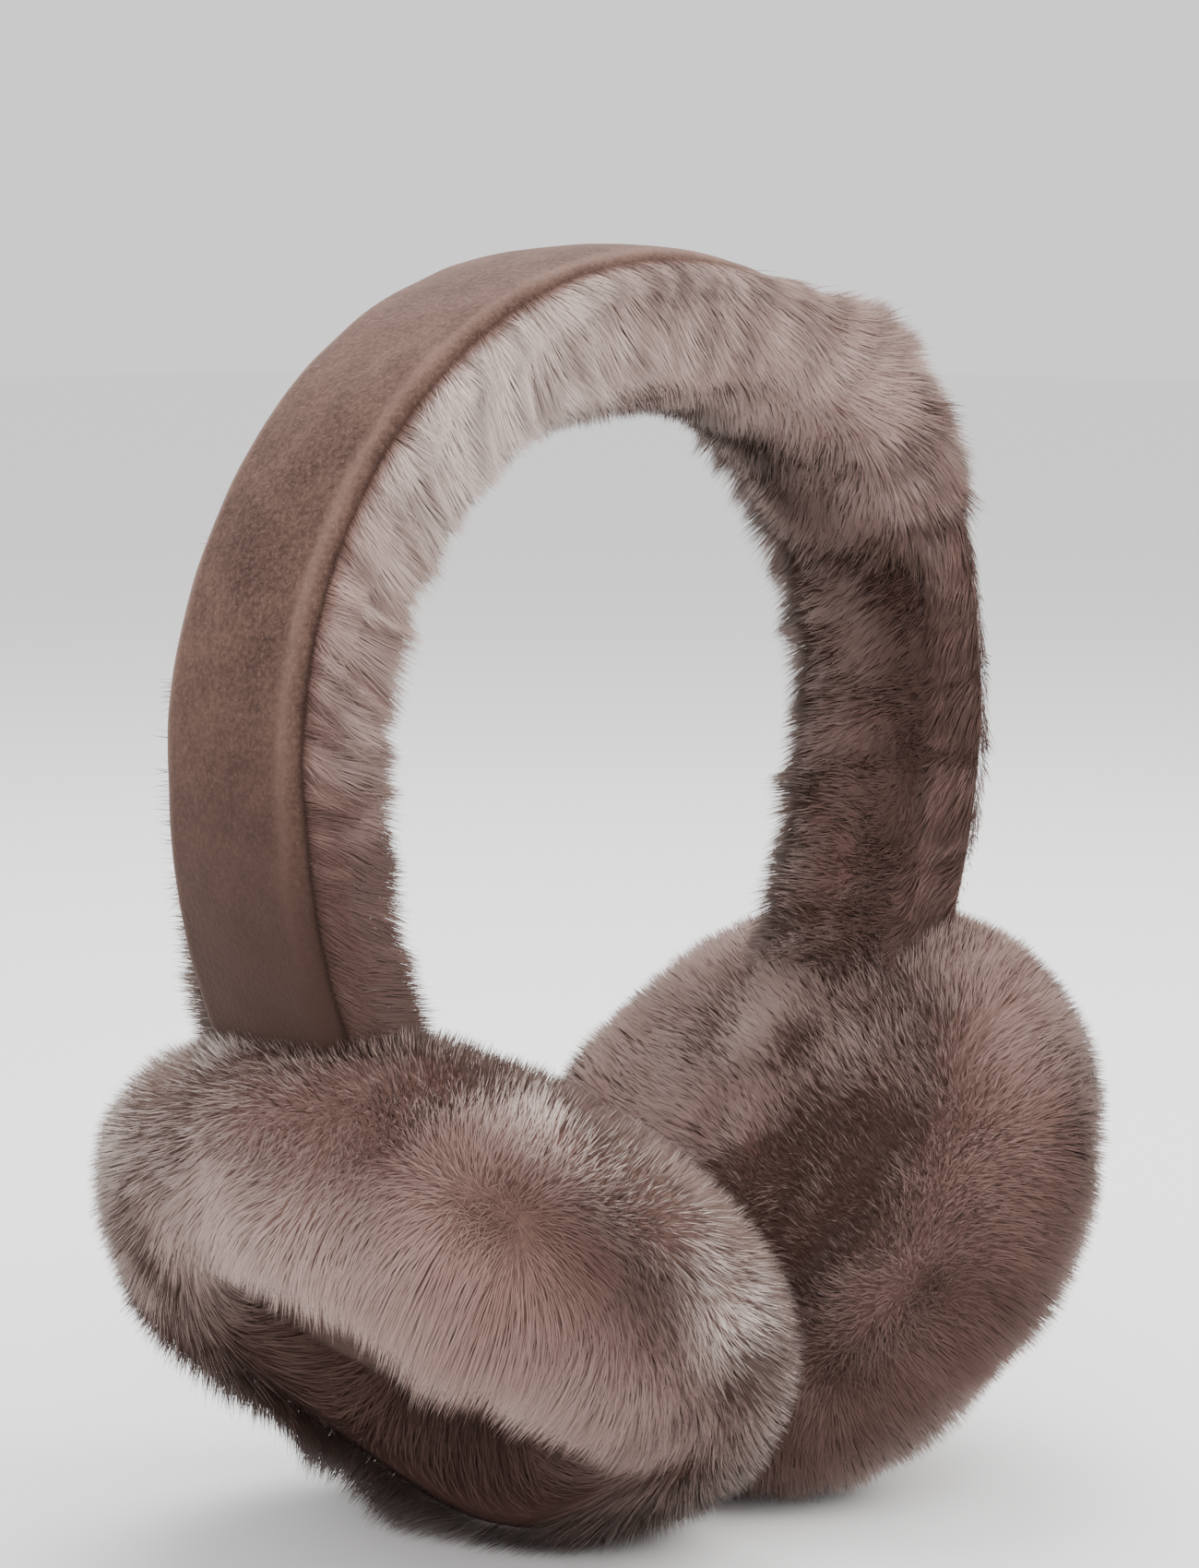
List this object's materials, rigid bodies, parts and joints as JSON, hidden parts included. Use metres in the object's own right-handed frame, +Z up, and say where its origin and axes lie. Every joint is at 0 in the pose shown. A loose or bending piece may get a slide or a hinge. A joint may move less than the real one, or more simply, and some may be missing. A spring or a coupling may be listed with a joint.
{
  "type": "earmuffs",
  "caption": "Fur earmuffs: a suede-covered headband lined with deep fur, standing on two round fur cups with domed suede discs, for keeping both ears warm",
  "frame": {"origin": "on the surface that the two cups stand on, below the middle of the bounding box", "axes": "+X from the left cup to the right cup, -Y to the front, +Z up through the top of the headband"},
  "size_m": [0.1938, 0.1284, 0.237],
  "materials": {
    "suede": "brushed suede, fine nap",
    "fur": "long soft fur, dark roots and pale tips"
  },
  "bodies": {
    "root": {"headband_cover": "suede", "headband_fur": "fur", "left_cup_fur": "fur", "left_cup_disc": "suede", "right_cup_fur": "fur", "right_cup_disc": "suede"}
  },
  "joints": []
}
